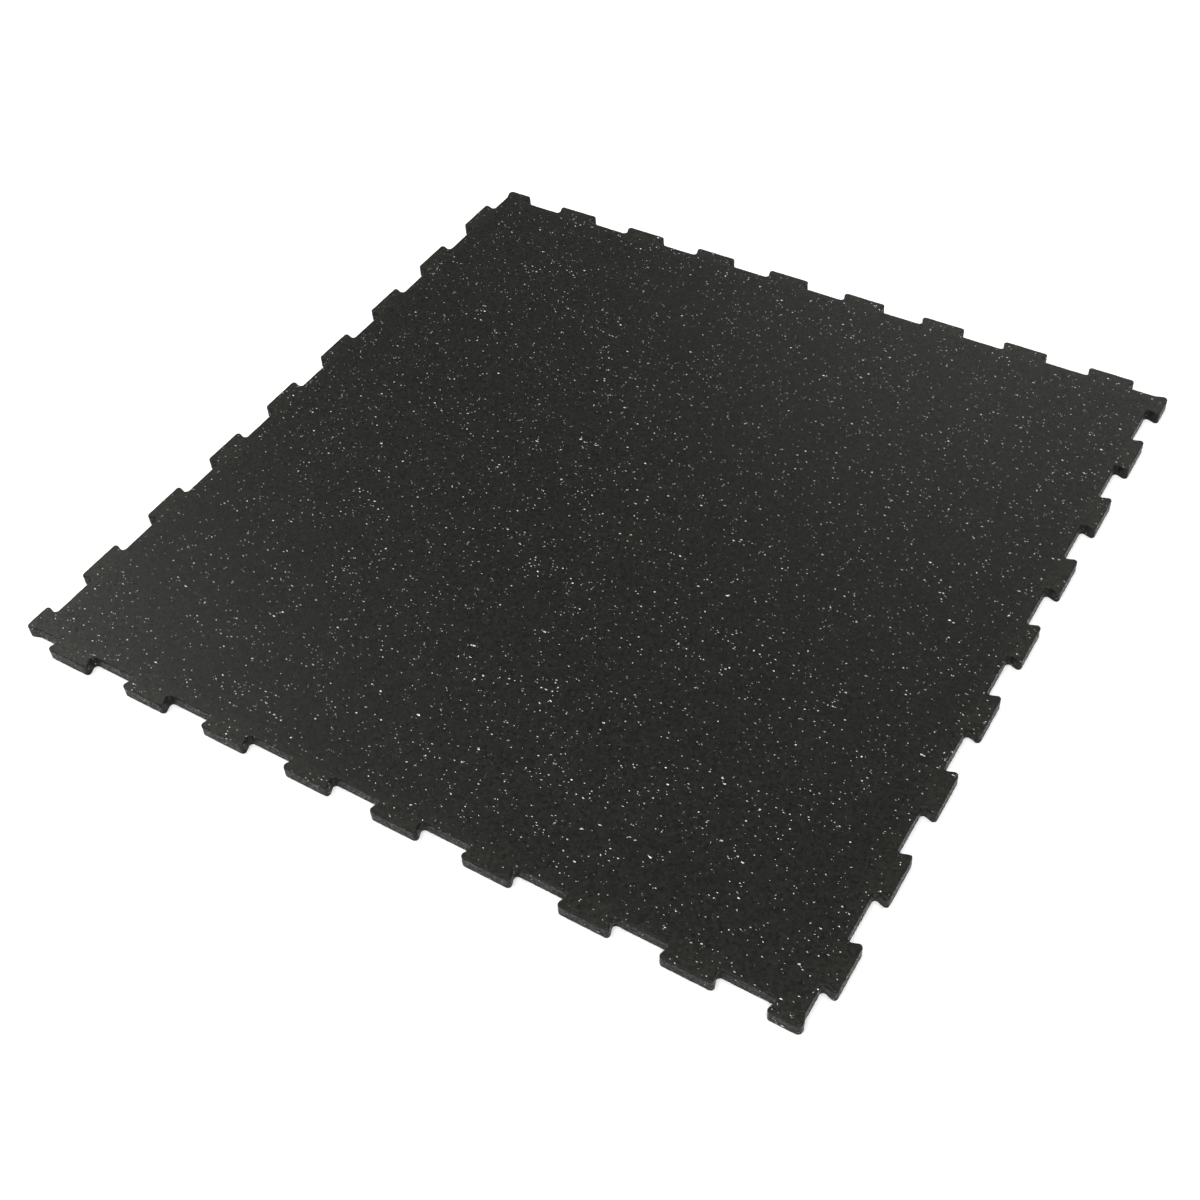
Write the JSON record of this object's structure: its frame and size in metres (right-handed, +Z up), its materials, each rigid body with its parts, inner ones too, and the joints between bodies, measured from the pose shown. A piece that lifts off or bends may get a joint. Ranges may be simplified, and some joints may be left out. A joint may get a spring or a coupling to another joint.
{
  "type": "rubber gym floor tile",
  "caption": "Square interlocking rubber floor tile, a flat dark sheet with light flecks and a row of dovetail tabs along every side, pinwheel at the corners.",
  "frame": {"origin": "centre of the tile's underside, on the floor", "axes": "+Z up out of the wear surface; X and Y along the tile's sides; -Y is the side that faces left of the camera in the picture and +X the side that faces right of it"},
  "size_m": [0.6194, 0.6194, 0.0095],
  "materials": {
    "rubber": "matte"
  },
  "bodies": {
    "root": {"tile": "rubber"}
  },
  "joints": []
}
